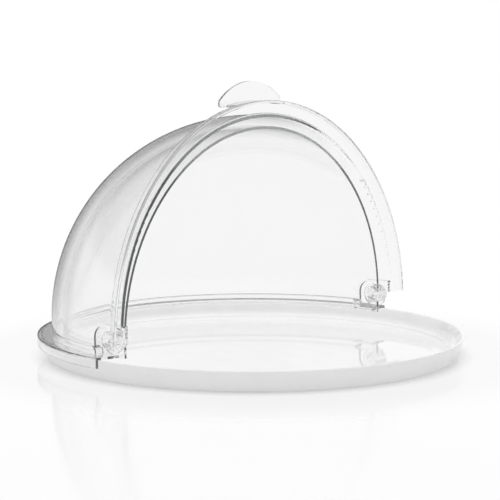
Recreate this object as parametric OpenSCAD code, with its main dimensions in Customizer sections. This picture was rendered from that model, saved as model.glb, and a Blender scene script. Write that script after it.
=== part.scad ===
// Round roll-top food cover on a tray.
// The origin is the middle of the tray's underside, +Z up, and the opening faces -Y.
// The lid is drawn closed about the roll axis, then turned back to its open rest pose.

/* [Tray] */
// Outside diameter of the tray's rim
tray_d = 380; // [320:1:460]
// Height of the rim above the table
tray_h = 19; // [17:0.5:26]
// Thickness of the tray's wall
tray_wall = 2.6; // [2:0.1:4]
// Lean of the wall away from upright, in degrees
wall_lean = 19; // [10:1:22]
// Outer radius of the bend from wall to underside
foot_bend = 5; // [4.5:0.5:8]
// Bevel on both edges of the rim
rim_bevel = 0.6; // [0.3:0.1:0.8]
// Height of the step that runs round the well
step_h = 1; // [0.5:0.1:2]
// Width of the sloping ledge outside the step
ledge_w = 5.5; // [5:0.5:12]
// Fall of the ledge from the wall to the step
ledge_fall = 1.4; // [0.5:0.1:2]
// Inner radius of the bend from the ledge up into the wall
well_bend = 7.5; // [4:0.5:8]
// Width of the slope between the step and the flat floor
slope_w = 14; // [8:0.5:20]
// Fall of that slope
slope_fall = 1.6; // [0.5:0.1:2]
// Height of the flat floor above the table
floor_h = 3.4; // [3:0.1:5]
// Depth of the recess in the underside
base_recess = 1; // [0.5:0.1:1.5]
// Width of the ring that the tray stands on
ring_w = 10; // [6:0.5:20]

/* [Domes] */
// Distance from the tray's rim in to the outside of the lid's dome
rim_ledge = 10; // [8:0.5:20]
// Wall thickness of both clear shells
shell_wall = 2.5; // [2:0.1:3]
// Gap between the two domes
roll_gap = 7.2; // [6:0.1:9]
// Height of the roll axis above the tray's rim
pivot_rise = 16; // [15:0.5:22]
// Angle that the lid rolls back from closed
open_angle = 91.75; // [86:0.25:98]
// Reach of the rear dome's front edge ahead of the roll axis
rear_reach = 7.4; // [4:0.1:9]

/* [Flanges] */
// Thickness of both flanges
flange_t = 2.2; // [1.8:0.1:3]
// Radial clearance between the tray's rim and the skirts
rim_fit = 0.4; // [0.3:0.1:1]
// Drop of the rear cover's skirt below the rim
rear_skirt = 7; // [4:0.5:10]
// Drop of the lid's skirt below the rim
lid_skirt = 3.6; // [2:0.1:8]
// Radius on the outer edges of both flanges and skirts
edge_bend = 1; // [0.5:0.1:1.5]
// Gap that the lid keeps at both of its stops
seat_gap = 0.3; // [0.2:0.1:0.6]
// Radius of the bend from the lid's dome into its flange
lid_bend = 2; // [1:0.1:3]
// Distance of the lid's flange ends ahead of the roll axis
lid_end = 2.3; // [2:0.1:6]
// Distance of the rear flange's outer corners behind the roll axis
flange_corner = 3.6; // [2:0.1:8]
// Distance of the rear flange's inner corners ahead of the roll axis
flange_toe = 1; // [0:0.1:1.2]

/* [Plinth] */
// Height of the rear cover's plinth above the rim
plinth_h = 8.3; // [7:0.1:10]
// Distance of the plinth's ends behind the roll axis
plinth_start = 19; // [17:0.5:26]
// Radius on the plinth's upper end corners
plinth_corner = 4.5; // [3:0.5:5]

/* [Hinges] */
// Diameter of the pivot pin's shaft
pin_d = 11; // [8:0.1:12]
// Diameter of the pin's hollow core
core_d = 5.4; // [3:0.1:7]
// Diameter of the pin's head
head_d = 15; // [14:0.1:17]
// Thickness of the pin's head
head_t = 1.6; // [1.2:0.1:2]
// Diameter of the boss on the rear cover
boss_d = 19.5; // [18:0.5:24]
// How far the boss stands out from the rear dome
boss_proud = 2.6; // [2:0.1:3]
// Outside diameter of the thrust washer
washer_d = 17.5; // [15:0.5:18]
// Thickness of the thrust washer
washer_t = 0.8; // [0.6:0.1:1]
// Radius of the round end of the lid's ear
ear_r = 12; // [10:0.1:12.5]
// Reach of the ear's recess ahead of the roll axis, on the closed lid
recess_front = 11.5; // [11:0.1:14]
// Reach of the ear's recess above the roll axis, on the closed lid
recess_top = 19.6; // [18:0.1:24]
// Corner radius of the ear's recess
recess_corner = 11; // [6:0.5:11]
// Thickness of the wall round the ear's recess
recess_wall = 1.5; // [1.2:0.1:2.5]
// Diameter of the pin's cap
cap_d = 16; // [14:0.5:20]
// Height of the pin's cap
cap_h = 6.5; // [5:0.1:8]
// Thickness of the cap's closed end
cap_end = 1.6; // [1.2:0.1:2.5]
// Radius on the cap's outer edge
cap_edge = 2; // [1:0.1:2.5]
// Radial clearance of the pin in the ears
pin_fit = 0.08; // [0.04:0.01:0.1]
// Side play of the ear between the washer and the cap
side_play = 0.15; // [0.1:0.05:0.3]
// Gap left between the hinge pieces where they seat on each other
seat_fit = 0.04; // [0.02:0.01:0.08]

/* [Finger tab] */
// Width of the tab
tab_w = 80; // [50:1:110]
// Width of the lip that carries the tab
lip_w = 62; // [30:1:90]
// Height of the tab's middle above the lid's flange
tab_rise = 11.5; // [6:0.5:14]
// Thickness of the tab and its lip
tab_t = 2.2; // [1.8:0.1:3]
// Reach of the tab beyond the flange's edge
tab_reach = 17; // [14:0.5:26]
// Distance of the tab's straight root inside the flange's edge
tab_root = 3.5; // [2:0.1:5]
// Height of the tab's straight sides above its root
tab_side = 2.75; // [1:0.25:6]
// Radius of the tab's shoulders
tab_shoulder = 4; // [2:0.5:6]

/* [Hidden] */
$fn = 180;

tray_white = "white";
clear_plastic = [0.86, 0.91, 0.93, 0.35];
far = 2 * tray_d;

// Tray: wall lines
tray_r = tray_d / 2;
lean_run = tan(wall_lean);
wall_across = tray_wall / cos(wall_lean);
base_r = tray_r - tray_h * lean_run;
bend_in = foot_bend * tan((90 - wall_lean) / 2);
ring_outer = base_r - bend_in;
bend_y = foot_bend;

// Tray: well, from the floor outwards
step_foot_h = floor_h + slope_fall;
ledge_low_h = step_foot_h + step_h;
ledge_high_h = ledge_low_h + ledge_fall;
ledge_outer = base_r + ledge_high_h * lean_run - wall_across;
ledge_inner = ledge_outer - ledge_w;
step_inner = ledge_inner - step_h;
floor_r = step_inner - slope_w;
ledge_slope = atan(ledge_fall / ledge_w);
bend_reach = well_bend / tan((90 + wall_lean + ledge_slope) / 2);
bend_low = [ledge_outer - bend_reach * cos(ledge_slope), ledge_high_h - bend_reach * sin(ledge_slope)];
bend_high = [ledge_outer + bend_reach * sin(wall_lean), ledge_high_h + bend_reach * cos(wall_lean)];
bend_mid = bend_low + well_bend * [-sin(ledge_slope), cos(ledge_slope)];

// Roll axis and the two domes about it
pivot_h = tray_h + pivot_rise;
lid_r = tray_r - rim_ledge;
lid_in = lid_r - shell_wall;
rear_r = lid_in - roll_gap;
rear_in = rear_r - shell_wall;

// Heights measured from the roll axis
rim_z = -pivot_rise;
rear_top_z = rim_z + flange_t;
plinth_z = rim_z + plinth_h;
lid_under_z = rim_z + seat_gap;
lid_top_z = lid_under_z + flange_t;
skirt_in = tray_r + rim_fit;
flange_r = skirt_in + shell_wall;

// Hinge stack along the roll axis, from the inside of the rear dome outwards
boss_in_x = sqrt(pow(rear_in, 2) - pow(boss_d / 2, 2));
head_seat_x = boss_in_x + head_t;
boss_out_x = rear_r + boss_proud;
ear_in_x = boss_out_x + washer_t + side_play;
ear_out_x = ear_in_x + shell_wall;
cap_in_x = ear_out_x + side_play;
cap_out_x = cap_in_x + cap_h;
pin_out_x = cap_out_x - cap_end;
core_depth = pin_out_x - boss_in_x - cap_end;
bore_r = pin_d / 2 + pin_fit;

// Finger tab: its bow and shoulder circles, on the closed lid
tab_z = lid_top_z + tab_rise;
tab_tip = flange_r + tab_reach;
tab_root_y = flange_r - tab_root;
shoulder_x = tab_w / 2 - tab_shoulder;
shoulder_y = tab_root_y + tab_side;
tab_crown = tab_tip - shoulder_y;
bow_over_shoulder = tab_crown - tab_shoulder;
tab_bow_r = (pow(shoulder_x, 2) + pow(tab_crown, 2) - pow(tab_shoulder, 2)) / (2 * bow_over_shoulder);
bow_y = tab_tip - tab_bow_r;
bow_half = shoulder_x * tab_bow_r / (tab_bow_r - tab_shoulder);

// Places its children on the roll axis
module at_pivot() {
    translate([0, 0, pivot_h]) children();
}

// Repeats its children on both sides
module both_sides() {
    children();
    mirror([1, 0, 0]) children();
}

// A solid ring about Z between two radii and two heights
module ring(r_in, r_out, z_low, z_high) {
    difference() {
        translate([0, 0, z_low]) cylinder(r = r_out, h = z_high - z_low);
        translate([0, 0, z_low - 1]) cylinder(r = r_in, h = z_high - z_low + 2);
    }
}

// A cylinder along X from x_low to x_high
module rod(r, x_low, x_high) {
    translate([x_low, 0, 0]) rotate([0, 90, 0]) cylinder(r = r, h = x_high - x_low);
}

// Extrudes an outline drawn in Y and Z along X
module side_extrude(x_low, x_high) {
    translate([x_low, 0, 0]) rotate([90, 0, 90])
        linear_extrude(height = x_high - x_low) children();
}

// Everything behind front and below top, with that upper front corner rounded
module rounded_corner(front, top, corner) {
    translate([front, -far]) square([far, far + top - corner]);
    translate([front + corner, -far]) square([far, far + top]);
    translate([front + corner, top - corner]) circle(r = corner);
}

// Half of the tray's section: the flared wall and the floor with its stepped well
module tray_section() {
    difference() {
        polygon([
            [0, 0],
            [base_r, 0],
            [tray_r - rim_bevel * lean_run, tray_h - rim_bevel],
            [tray_r - rim_bevel, tray_h],
            [tray_r - wall_across + rim_bevel, tray_h],
            [tray_r - wall_across - rim_bevel * lean_run, tray_h - rim_bevel],
            [ledge_outer, ledge_high_h],
            [ledge_inner, ledge_low_h],
            [step_inner, step_foot_h],
            [floor_r, floor_h],
            [0, floor_h]
        ]);
        foot_corner();
        translate([-1, -1]) square([ring_outer - ring_w + 1, base_recess + 1]);
    }
}

// The sliver that rounds the well's corner between the ledge and the wall
module well_corner() {
    difference() {
        polygon([[ledge_outer, ledge_high_h], bend_high, bend_mid, bend_low]);
        translate(bend_mid) circle(r = well_bend);
    }
}

// The sliver outside the bend from the wall to the underside
module foot_corner() {
    difference() {
        polygon([
            [ring_outer, -1],
            [base_r + foot_bend, -1],
            [base_r + foot_bend, bend_y],
            [ring_outer + foot_bend * cos(wall_lean), bend_y - foot_bend * sin(wall_lean)],
            [ring_outer, bend_y]
        ]);
        translate([ring_outer, bend_y]) circle(r = foot_bend);
    }
}

module tray() {
    color(tray_white) rotate_extrude() {
        tray_section();
        well_corner();
    }
}

// Rear dome: a spherical shell down to the rim, cut off ahead of the roll axis
module rear_shell() {
    difference() {
        sphere(r = rear_r);
        sphere(r = rear_in);
        translate([-far, -far, rim_z - far]) cube([2 * far, 2 * far, far]);
        translate([-far, -rear_reach - far, -far]) cube([2 * far, far, 2 * far]);
    }
}

// Region behind the slanting ends of the rear flange
module behind_flange_ends() {
    slant = (flange_corner + flange_toe) / (flange_r - rear_in);
    edge_x = flange_r + rim_ledge;
    edge_y = flange_corner + slant * rim_ledge;
    linear_extrude(height = far, center = true)
        polygon([
            [-edge_x, edge_y],
            [-rear_in, -flange_toe],
            [rear_in, -flange_toe],
            [edge_x, edge_y],
            [edge_x, far],
            [-edge_x, far]
        ]);
}

// A flange from r_in outwards, with a skirt outside the tray's rim and both outer edges rounded
module skirted_flange(r_in, under_z, skirt) {
    top_z = under_z + flange_t;
    foot_z = rim_z - skirt;
    round_r = flange_r - edge_bend;
    rotate_extrude() {
        translate([r_in, under_z]) square([round_r - r_in, flange_t]);
        translate([skirt_in, foot_z]) square([round_r - skirt_in, top_z - foot_z]);
        translate([skirt_in, foot_z + edge_bend]) square([shell_wall, top_z - foot_z - 2 * edge_bend]);
        for (z = [foot_z, top_z - 2 * edge_bend])
            translate([round_r, z + edge_bend]) circle(r = edge_bend);
    }
}

// Flange that sits on the tray's rim
module rear_flange() {
    intersection() {
        skirted_flange(rear_in, rim_z, rear_skirt);
        behind_flange_ends();
    }
}

// Plinth that carries the open lid's lower edge, hollow from below
module plinth() {
    difference() {
        intersection() {
            ring(rear_in, lid_r, rim_z, plinth_z);
            side_extrude(-far, far) rounded_corner(plinth_start, plinth_z, plinth_corner);
        }
        intersection() {
            ring(rear_in, lid_in, rim_z - 1, plinth_z - shell_wall);
            side_extrude(-far, far)
                rounded_corner(plinth_start + shell_wall, plinth_z - shell_wall,
                               plinth_corner - shell_wall);
        }
    }
}

// Flange and plinth together, with the plinth's hollow open through the flange
module rear_base() {
    difference() {
        rear_flange();
        intersection() {
            ring(rear_r, lid_in, rim_z - 1, rear_top_z + 1);
            translate([-far, plinth_start + shell_wall, -far]) cube([2 * far, far, 2 * far]);
        }
    }
    plinth();
}

module rear_cover() {
    color(clear_plastic) at_pivot() difference() {
        union() {
            rear_shell();
            rear_base();
            both_sides() rod(boss_d / 2, boss_in_x, boss_out_x);
        }
        both_sides() rod(head_d / 2 + pin_fit, boss_in_x - far, head_seat_x);
        both_sides() rod(bore_r, boss_in_x, boss_out_x + 1);
    }
}

// A half ball on a straight run down to low_z, which flares out by the lid's bend at flare_z
module bell(r, flare_z, low_z) {
    rotate_extrude() {
        intersection() {
            circle(r = r);
            square(r);
        }
        translate([0, low_z]) square([r, -low_z]);
        translate([0, low_z]) square([r + lid_bend, flare_z - low_z]);
        difference() {
            translate([0, flare_z]) square([r + lid_bend, lid_bend]);
            translate([r + lid_bend, flare_z + lid_bend]) circle(r = lid_bend);
        }
    }
}

// Outside of the closed lid's dome, flattened at both ears
module lid_outside() {
    difference() {
        bell(lid_r, lid_top_z, lid_under_z);
        both_sides() side_extrude(ear_out_x, far)
            rounded_corner(-recess_front, recess_top, recess_corner);
    }
}

// Inside of the closed lid's dome, with a wall left round each ear's recess
module lid_inside() {
    difference() {
        bell(lid_in, lid_under_z, rim_z - lid_skirt);
        both_sides() side_extrude(ear_in_x, far)
            rounded_corner(-recess_front - recess_wall, recess_top + recess_wall,
                           recess_corner + recess_wall);
    }
}

// What the closed lid leaves free: the space under its ears and behind its rear edge
module lid_free_space() {
    translate([-far, -lid_end, -far]) cube([2 * far, far, far]);
    rotate([open_angle, 0, 0])
        translate([-far, -far, plinth_z + seat_gap - far]) cube([2 * far, 2 * far, far]);
}

// Half-moon outline of the finger tab, drawn outwards along Y
module tab_outline() {
    intersection() {
        translate([0, bow_y]) circle(r = tab_bow_r);
        translate([-bow_half, tab_root_y]) square([2 * bow_half, tab_tip]);
    }
    translate([-tab_w / 2, tab_root_y]) square([tab_w, shoulder_y - tab_root_y]);
    for (side = [-1, 1])
        translate([side * shoulder_x, shoulder_y]) circle(r = tab_shoulder);
}

// Finger tab raised on a curved lip at the front of the closed lid's flange
module finger_tab() {
    intersection() {
        ring(flange_r - tab_t, flange_r, lid_under_z, tab_z);
        translate([-lip_w / 2, -far, -far]) cube([lip_w, far, 2 * far]);
    }
    mirror([0, 1, 0]) translate([0, 0, tab_z - tab_t / 2])
        linear_extrude(height = tab_t) tab_outline();
}

// The lid closed, about the roll axis
module closed_lid() {
    difference() {
        union() {
            difference() {
                union() {
                    lid_outside();
                    skirted_flange(lid_in, lid_under_z, lid_skirt);
                }
                lid_inside();
                lid_free_space();
            }
            both_sides() rod(ear_r, ear_in_x, ear_out_x);
            finger_tab();
        }
        both_sides() rod(bore_r, ear_in_x - 1, ear_out_x + 1);
    }
}

module roll_lid() {
    color(clear_plastic) at_pivot() rotate([-open_angle, 0, 0]) closed_lid();
}

// Headed pin on the right, cored out from its head
module pivot_pin() {
    color(clear_plastic) at_pivot() difference() {
        union() {
            rod(head_d / 2, boss_in_x, head_seat_x - seat_fit);
            rod(pin_d / 2, boss_in_x, pin_out_x);
        }
        rod(core_d / 2, boss_in_x - 1, boss_in_x + core_depth);
    }
}

// Washer between the boss and the ear on the right
module thrust_washer() {
    color(clear_plastic) at_pivot() difference() {
        rod(washer_d / 2, boss_out_x + seat_fit, boss_out_x + washer_t);
        rod(bore_r, boss_out_x - 1, boss_out_x + washer_t + 1);
    }
}

// Half of the cap's section: radius across, height up
module cap_section() {
    square([cap_d / 2 - cap_edge, cap_h]);
    square([cap_d / 2, cap_h - cap_edge]);
    translate([cap_d / 2 - cap_edge, cap_h - cap_edge]) circle(r = cap_edge);
}

// Round-edged cap over the pin's outer end on the right
module pin_cap() {
    color(clear_plastic) at_pivot() difference() {
        translate([cap_in_x, 0, 0]) rotate([0, 90, 0]) rotate_extrude() cap_section();
        rod(bore_r, cap_in_x - 1, pin_out_x + seat_fit);
    }
}

module on_left() {
    mirror([1, 0, 0]) children();
}

tray();
rear_cover();
roll_lid();
on_left() pivot_pin();  // left_pivot_pin
pivot_pin();  // right_pivot_pin
on_left() thrust_washer();  // left_thrust_washer
thrust_washer();  // right_thrust_washer
on_left() pin_cap();  // left_pin_cap
pin_cap();  // right_pin_cap
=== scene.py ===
"""Looks for a round roll-top food cover: clear moulded domes on a glossy white tray."""

import math

import bpy
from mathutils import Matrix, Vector

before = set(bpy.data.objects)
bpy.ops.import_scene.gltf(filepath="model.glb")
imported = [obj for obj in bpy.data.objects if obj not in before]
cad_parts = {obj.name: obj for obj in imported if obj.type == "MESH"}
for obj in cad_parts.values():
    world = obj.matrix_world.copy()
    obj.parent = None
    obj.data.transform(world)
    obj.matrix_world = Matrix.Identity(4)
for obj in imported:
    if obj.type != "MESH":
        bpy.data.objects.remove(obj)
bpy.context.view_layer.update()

bl_info = {
    "name": "Roll-top food cover",
    "version": (1, 0, 0),
    "blender": (4, 5, 0),
    "location": "3D View > Sidebar > Food cover",
    "description": "Dresses the solids of a roll-top food cover in clear and white plastic",
    "category": "Object",
}

CLEAR_SHELLS = ("rear_cover", "roll_lid")
HINGE_PIECES = ("pivot_pin", "thrust_washer", "pin_cap")
SIDES = ("left", "right")
WHITE = (1, 1, 1, 1)
MM_PER_METRE = 1000
TRAY_IOR = 1.5
TRAY_FLOW_MM = 25
TRAY_GLOSSIEST = 0.03
TRAY_DULLEST = 0.05
CLEAR_IOR = 1.57
CLEAR_WAVE_MM = 50
CLEAR_WAVE_DEPTH_MM = 0.02
# One minus the cosine of the angle to the wall's normal, from which the clear walls' colour darkens with
# painted shade
LOW_ANGLE = 0.7
# How far a mirrored direction runs along the line of sight where the flags start, and where they are full
FLAG_START = 0.3
FLAG_FULL = 0.95
FLOOR_ROUGHNESS = 0.1


def linear(hex_colour):
    """Turns an sRGB hex value into linear red, green, blue and full alpha."""
    parts = [int(hex_colour[i:i + 2], 16) / 255 for i in (1, 3, 5)]
    curve = [c / 12.92 if c <= 0.04045 else ((c + 0.055) / 1.055) ** 2.4 for c in parts]
    return (*curve, 1.0)


def colour_property(name, description, hex_colour):
    """A colour that the panel can change."""
    return bpy.props.FloatVectorProperty(name=name, description=description, subtype="COLOR", size=4,
                                         min=0, max=1, default=linear(hex_colour))


class PlasticLooks(bpy.types.PropertyGroup):
    """Colours of the two plastics, and how far light gets in the clear one."""

    tray_white: colour_property("Tray white", "Colour of the moulded tray", "#f9f9f9")
    tray_shade: colour_property("Tray shade", "Colour of the faint flow marks in the tray", "#f2f2f2")
    clear_depth: colour_property("Clear depth", "Tint that light takes on along the clear walls", "#7f8586")
    # Painted shade: the colour the clear walls darken to where they are seen at a low angle
    painted_edge_shade: colour_property("Clear edge", "Tint of light that crosses the clear walls at a low angle",
                                "#a0a0a0")
    clear_density: bpy.props.FloatProperty(
        name="Clear density", description="How fast the clear plastic takes up light, per metre",
        default=4.5)
    bounces: bpy.props.IntProperty(
        name="Bounces", description="How often light may turn inside the clear walls", default=256)


class StageLooks(bpy.types.PropertyGroup):
    """Colours and brightness of the studio."""

    floor_white: colour_property("Floor white", "Colour of the studio floor", "#f2f2f2")
    through_white: colour_property("White through plastic",
                                   "The backdrop as it shows through the clear walls", "#f8f8f8")
    room_soft: colour_property("Soft room", "The room above the backdrop, as it lights the part", "#b8b8b8")
    flag_dark: colour_property("Dark flags", "What the polish mirrors along the line of sight", "#303030")
    flag_bright: colour_property("Bright sides", "What the polish mirrors across the line of sight",
                                 "#f4f4f4")
    lamp_power: bpy.props.FloatProperty(
        name="Lamp power", description="Power of the panel overhead", unit="POWER", default=17)
    floor_glow: bpy.props.FloatProperty(
        name="Floor glow", description="Share of the floor's white that comes from below, at the tray",
        default=0.35)
    floor_mirror: bpy.props.FloatProperty(
        name="Floor mirror", description="Share of the floor that mirrors, at the tray", default=0.2)


class StageSizes(bpy.types.PropertyGroup):
    """Where the camera stands and how large the studio is."""

    view_azimuth: bpy.props.FloatProperty(
        name="Azimuth", description="Turn of the view away from looking straight into the opening",
        subtype="ANGLE", default=math.radians(47.91))
    view_elevation: bpy.props.FloatProperty(
        name="Elevation", description="Height of the camera above the horizon",
        subtype="ANGLE", default=math.radians(7.89))
    view_distance: bpy.props.FloatProperty(
        name="Distance", description="Distance from the camera to the point it looks at",
        unit="LENGTH", default=2.098)
    aim_height: bpy.props.FloatProperty(
        name="Aim height", description="Height above the table of the point the camera looks at",
        unit="LENGTH", default=0.0855)
    lens: bpy.props.FloatProperty(
        name="Lens", description="Focal length in millimetres on a 36 mm sensor", default=168.75)
    shift_x: bpy.props.FloatProperty(
        name="Shift across", description="Share of the picture by which the object sits off its middle",
        default=-0.0055)
    shift_y: bpy.props.FloatProperty(
        name="Shift up", description="Share of the picture by which the object sits off its middle",
        default=0.0189)
    floor_size: bpy.props.FloatProperty(
        name="Floor size", description="Side of the square studio floor", unit="LENGTH", default=40)
    shadow_near: bpy.props.FloatProperty(
        name="Shadow start", description="Distance from the tray's middle where the shadow starts to fade",
        unit="LENGTH", default=0.19)
    shadow_far: bpy.props.FloatProperty(
        name="Shadow end", description="Distance from the tray's middle where the shadow has faded",
        unit="LENGTH", default=0.32)
    mirror_far: bpy.props.FloatProperty(
        name="Mirror end", description="Distance from the tray's middle where the mirror image has faded",
        unit="LENGTH", default=0.8)
    backdrop_top: bpy.props.FloatProperty(
        name="Backdrop top", description="Slope of the line of sight to the top of the white backdrop",
        default=0.2)
    backdrop_fade: bpy.props.FloatProperty(
        name="Backdrop fade", description="Slope over which the backdrop fades into the room", default=0.1)
    lamp_height: bpy.props.FloatProperty(
        name="Lamp height", description="Height of the panel over the tray", unit="LENGTH", default=1.6)
    lamp_size: bpy.props.FloatProperty(
        name="Lamp size", description="Side of the square panel", unit="LENGTH", default=1.6)


def add_node(tree, kind, inputs, **properties):
    """Adds a node, and gives each input a value or a link from another node's output."""
    node = tree.nodes.new(kind)
    for name, value in properties.items():
        setattr(node, name, value)
    for name, value in inputs.items():
        if isinstance(value, bpy.types.NodeSocket):
            tree.links.new(value, node.inputs[name])
        else:
            node.inputs[name].default_value = value
    return node


def new_material(name):
    """An empty node material and its tree."""
    material = bpy.data.materials.new(name)
    material.use_nodes = True
    material.node_tree.nodes.clear()
    return material, material.node_tree


def moulded_white(looks):
    """White tray plastic, injection moulded in a polished tool: a clean gloss over a faint flow pattern."""
    material, tree = new_material("white moulded plastic, glossy")
    place = add_node(tree, "ShaderNodeTexCoord", {})
    # Flow marks that move the tone and the gloss a little
    flow = add_node(tree, "ShaderNodeTexNoise",
                    {"Vector": place.outputs["Object"], "Scale": MM_PER_METRE / TRAY_FLOW_MM,
                     "Detail": 2.0})
    tone = add_node(tree, "ShaderNodeMixRGB", {"Fac": flow.outputs["Fac"], "Color1": looks.tray_white,
                                               "Color2": looks.tray_shade})
    gloss = add_node(tree, "ShaderNodeMapRange",
                     {"Value": flow.outputs["Fac"], "To Min": TRAY_GLOSSIEST, "To Max": TRAY_DULLEST})
    surface = add_node(tree, "ShaderNodeBsdfPrincipled",
                       {"Base Color": tone.outputs["Color"], "Roughness": gloss.outputs["Result"],
                        "IOR": TRAY_IOR})
    add_node(tree, "ShaderNodeOutputMaterial", {"Surface": surface.outputs["BSDF"]})
    return material


def clear_plastic(name, looks):
    """Clear moulded plastic, polished: almost invisible face on, grey along the walls, with painted shade
    where they are seen at a low angle.
    """
    material, tree = new_material(name)
    place = add_node(tree, "ShaderNodeTexCoord", {})
    # Long shallow waves, left by the flow in the mould
    flow = add_node(tree, "ShaderNodeTexNoise",
                    {"Vector": place.outputs["Object"], "Scale": MM_PER_METRE / CLEAR_WAVE_MM,
                     "Detail": 0.0})
    wave = add_node(tree, "ShaderNodeBump",
                    {"Height": flow.outputs["Fac"], "Distance": CLEAR_WAVE_DEPTH_MM / MM_PER_METRE})
    # Painted shade: where the wall is seen within about 17 degrees of its surface, the base colour darkens,
    # which draws the domes' outlines
    slant = add_node(tree, "ShaderNodeLayerWeight", {"Blend": 0.5})
    low = add_node(tree, "ShaderNodeMapRange", {"Value": slant.outputs["Facing"], "From Min": LOW_ANGLE})
    tone = add_node(tree, "ShaderNodeMixRGB", {"Fac": low.outputs["Result"], "Color1": WHITE,
                                               "Color2": looks.painted_edge_shade})
    surface = add_node(tree, "ShaderNodeBsdfPrincipled",
                       {"Base Color": tone.outputs["Color"], "Roughness": 0.0, "IOR": CLEAR_IOR,
                        "Transmission Weight": 1.0, "Normal": wave.outputs["Normal"]})
    depth = add_node(tree, "ShaderNodeVolumeAbsorption",
                     {"Color": looks.clear_depth, "Density": looks.clear_density})
    add_node(tree, "ShaderNodeOutputMaterial",
             {"Surface": surface.outputs["BSDF"], "Volume": depth.outputs["Volume"]})
    return material


def dress(node_name, material):
    """Gives a solid its finish."""
    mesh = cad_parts[node_name].data
    mesh.materials.clear()
    mesh.materials.append(material)


def dress_clear(node_name, material):
    """Gives a clear solid its finish and lets the studio's light pass straight through it."""
    dress(node_name, material)
    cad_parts[node_name].visible_shadow = False
    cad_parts[node_name].visible_diffuse = False


class COVER_OT_tray(bpy.types.Operator):
    """Finish the tray in glossy white plastic."""

    bl_idname = "cover.tray"
    bl_label = "Tray"

    def execute(self, context):
        dress("tray", moulded_white(context.scene.cover_plastic))
        return {"FINISHED"}


class COVER_OT_shells(bpy.types.Operator):
    """Finish the two domes in clear plastic."""

    bl_idname = "cover.shells"
    bl_label = "Clear domes"

    def execute(self, context):
        looks = context.scene.cover_plastic
        clear = clear_plastic("clear moulded plastic, polished", looks)
        for name in CLEAR_SHELLS:
            dress_clear(name, clear)
        for kind in ("max", "transmission", "glossy"):
            setattr(context.scene.cycles, f"{kind}_bounces", looks.bounces)
        return {"FINISHED"}


class COVER_OT_hinges(bpy.types.Operator):
    """Finish the pins, washers and caps in clear plastic."""

    bl_idname = "cover.hinges"
    bl_label = "Hinge pieces"

    def execute(self, context):
        clear = clear_plastic("clear moulded plastic, hinge", context.scene.cover_plastic)
        for side in SIDES:
            for piece in HINGE_PIECES:
                dress_clear(f"{side}_{piece}", clear)
        return {"FINISHED"}


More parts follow.
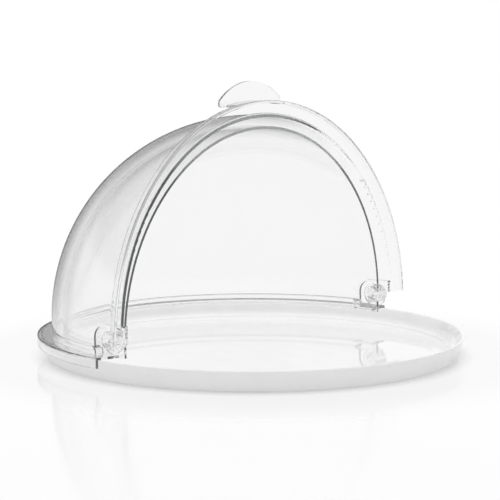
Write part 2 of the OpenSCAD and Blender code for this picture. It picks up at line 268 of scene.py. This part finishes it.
class COVER_OT_stage(bpy.types.Operator):
    """Build the white studio and set the camera."""

    bl_idname = "cover.stage"
    bl_label = "Stage and camera"

    def execute(self, context):
        sizes = context.scene.cover_stage_sizes
        looks = context.scene.cover_stage_looks
        self.add_floor(sizes, looks)
        self.light_world(context.scene, sizes, looks)
        self.add_lamp(sizes, looks)
        self.set_camera(context.scene, sizes)
        return {"FINISHED"}

    def polish_share(self, tree, path):
        """One for a ray that a perfectly smooth surface mirrors, as the clear plastic's does; else zero."""
        share = add_node(tree, "ShaderNodeMath",
                         {0: path.outputs["Is Singular Ray"], 1: path.outputs["Is Reflection Ray"]},
                         operation="MULTIPLY")
        return share.outputs["Value"]

    def backdrop(self, tree, path, looks):
        """White, and a little dimmer where it shows through the clear plastic."""
        white = add_node(tree, "ShaderNodeMixRGB", {"Fac": path.outputs["Is Transmission Ray"],
                                                    "Color1": WHITE, "Color2": looks.through_white})
        return white.outputs["Color"]

    def mirrored_room(self, tree, direction, sizes, looks):
        """What the polish mirrors: dark flags along the line of sight, brighter to the sides."""
        sight = (math.sin(sizes.view_azimuth), math.cos(sizes.view_azimuth), 0)
        unit = add_node(tree, "ShaderNodeVectorMath", {0: direction}, operation="NORMALIZE")
        along = add_node(tree, "ShaderNodeVectorMath", {0: unit.outputs["Vector"], 1: sight},
                         operation="DOT_PRODUCT")
        either_way = add_node(tree, "ShaderNodeMath", {0: along.outputs["Value"]}, operation="ABSOLUTE")
        flag = add_node(tree, "ShaderNodeMapRange",
                        {"Value": either_way.outputs["Value"], "From Min": FLAG_START,
                         "From Max": FLAG_FULL})
        room = add_node(tree, "ShaderNodeMixRGB",
                        {"Fac": flag.outputs["Result"], "Color1": looks.flag_bright,
                         "Color2": looks.flag_dark})
        return room.outputs["Color"]

    def add_floor(self, sizes, looks):
        """A glossy floor, lit from below, that keeps the shadow and fades to white away from the tray."""
        bpy.ops.object.select_all(action="DESELECT")
        bpy.ops.mesh.primitive_plane_add(size=sizes.floor_size)
        floor = bpy.context.object
        floor.name = "studio_floor"
        material, tree = new_material("white studio floor")
        path = add_node(tree, "ShaderNodeLightPath", {})
        place = add_node(tree, "ShaderNodeTexCoord", {})
        reach = add_node(tree, "ShaderNodeVectorMath", {0: place.outputs["Object"]}, operation="LENGTH")
        lit = add_node(tree, "ShaderNodeMapRange",
                       {"Value": reach.outputs["Value"], "From Min": sizes.shadow_near,
                        "From Max": sizes.shadow_far, "To Min": looks.floor_glow},
                       interpolation_type="SMOOTHSTEP")
        gloss = add_node(tree, "ShaderNodeMapRange",
                         {"Value": reach.outputs["Value"], "From Min": sizes.shadow_near,
                          "From Max": sizes.mirror_far, "To Min": looks.floor_mirror, "To Max": 0.0})
        paint = add_node(tree, "ShaderNodeBsdfDiffuse", {"Color": looks.floor_white})
        mirror = add_node(tree, "ShaderNodeBsdfGlossy", {"Color": WHITE, "Roughness": FLOOR_ROUGHNESS})
        mirrored = self.mirrored_room(tree, place.outputs["Object"], sizes, looks)
        seen = add_node(tree, "ShaderNodeMixRGB",
                        {"Fac": self.polish_share(tree, path), "Color1": self.backdrop(tree, path, looks),
                         "Color2": mirrored})
        glow = add_node(tree, "ShaderNodeEmission", {"Color": seen.outputs["Color"]})
        matt = add_node(tree, "ShaderNodeMixShader",
                        {0: lit.outputs["Result"], 1: paint.outputs["BSDF"], 2: glow.outputs["Emission"]})
        whole = add_node(tree, "ShaderNodeMixShader",
                         {0: gloss.outputs["Result"], 1: matt.outputs["Shader"], 2: mirror.outputs["BSDF"]})
        add_node(tree, "ShaderNodeOutputMaterial", {"Surface": whole.outputs["Shader"]})
        floor.data.materials.append(material)

    def light_world(self, scene, sizes, looks):
        """A white backdrop to the camera; a dimmer room above it to the light that falls on the part."""
        world = bpy.data.worlds.new("white studio")
        world.use_nodes = True
        tree = world.node_tree
        tree.nodes.clear()
        path = add_node(tree, "ShaderNodeLightPath", {})
        place = add_node(tree, "ShaderNodeTexCoord", {})
        slope = add_node(tree, "ShaderNodeSeparateXYZ", {"Vector": place.outputs["Generated"]})
        high = add_node(tree, "ShaderNodeMapRange",
                        {"Value": slope.outputs["Z"], "From Min": sizes.backdrop_top,
                         "From Max": sizes.backdrop_top + sizes.backdrop_fade})
        around = add_node(tree, "ShaderNodeMixRGB",
                          {"Fac": high.outputs["Result"], "Color1": self.backdrop(tree, path, looks),
                           "Color2": looks.room_soft})
        mirrored = self.mirrored_room(tree, place.outputs["Generated"], sizes, looks)
        seen = add_node(tree, "ShaderNodeMixRGB",
                        {"Fac": self.polish_share(tree, path), "Color1": around.outputs["Color"],
                         "Color2": mirrored})
        whole = add_node(tree, "ShaderNodeMixRGB",
                         {"Fac": path.outputs["Is Camera Ray"], "Color1": seen.outputs["Color"],
                          "Color2": WHITE})
        light = add_node(tree, "ShaderNodeBackground", {"Color": whole.outputs["Color"]})
        add_node(tree, "ShaderNodeOutputWorld", {"Surface": light.outputs["Background"]})
        scene.world = world

    def add_lamp(self, sizes, looks):
        """A large soft panel overhead that lights the tray and the floor."""
        bpy.ops.object.select_all(action="DESELECT")
        bpy.ops.object.light_add(type="AREA", location=(0, 0, sizes.lamp_height))
        lamp = bpy.context.object
        lamp.name = "overhead_panel"
        lamp.data.size = sizes.lamp_size
        lamp.data.energy = looks.lamp_power
        lamp.visible_glossy = False
        lamp.visible_transmission = False

    def set_camera(self, scene, sizes):
        """Stands the camera where the photograph was taken from."""
        forward = Vector((math.sin(sizes.view_azimuth) * math.cos(sizes.view_elevation),
                          math.cos(sizes.view_azimuth) * math.cos(sizes.view_elevation),
                          -math.sin(sizes.view_elevation)))
        camera = bpy.data.objects.new("camera", bpy.data.cameras.new("camera"))
        scene.collection.objects.link(camera)
        camera.location = Vector((0, 0, sizes.aim_height)) - forward * sizes.view_distance
        camera.rotation_mode = "QUATERNION"
        camera.rotation_quaternion = forward.to_track_quat("-Z", "Y")
        camera.data.lens = sizes.lens
        camera.data.shift_x = sizes.shift_x
        camera.data.shift_y = sizes.shift_y
        scene.camera = camera
        scene.view_settings.view_transform = "Standard"


class COVER_PT_panel(bpy.types.Panel):
    """Sizes, colours and steps of the food cover's looks."""

    bl_idname = "COVER_PT_panel"
    bl_label = "Food cover"
    bl_space_type = "VIEW_3D"
    bl_region_type = "UI"
    bl_category = "Food cover"

    def draw(self, context):
        for step in STEPS:
            self.layout.operator(step.bl_idname)
        for group_name, group in GROUPS.items():
            for value_name in group.__annotations__:
                self.layout.prop(getattr(context.scene, group_name), value_name)


STEPS = (COVER_OT_tray, COVER_OT_shells, COVER_OT_hinges, COVER_OT_stage)
GROUPS = {"cover_plastic": PlasticLooks, "cover_stage_looks": StageLooks, "cover_stage_sizes": StageSizes}
CLASSES = (*GROUPS.values(), *STEPS, COVER_PT_panel)


def register():
    for cls in CLASSES:
        bpy.utils.register_class(cls)
    for name, group in GROUPS.items():
        setattr(bpy.types.Scene, name, bpy.props.PointerProperty(type=group))


def unregister():
    for name in GROUPS:
        delattr(bpy.types.Scene, name)
    for cls in reversed(CLASSES):
        bpy.utils.unregister_class(cls)


def main():
    register()
    bpy.ops.cover.tray()
    bpy.ops.cover.shells()
    bpy.ops.cover.hinges()
    bpy.ops.cover.stage()


if __name__ == "__main__":
    main()
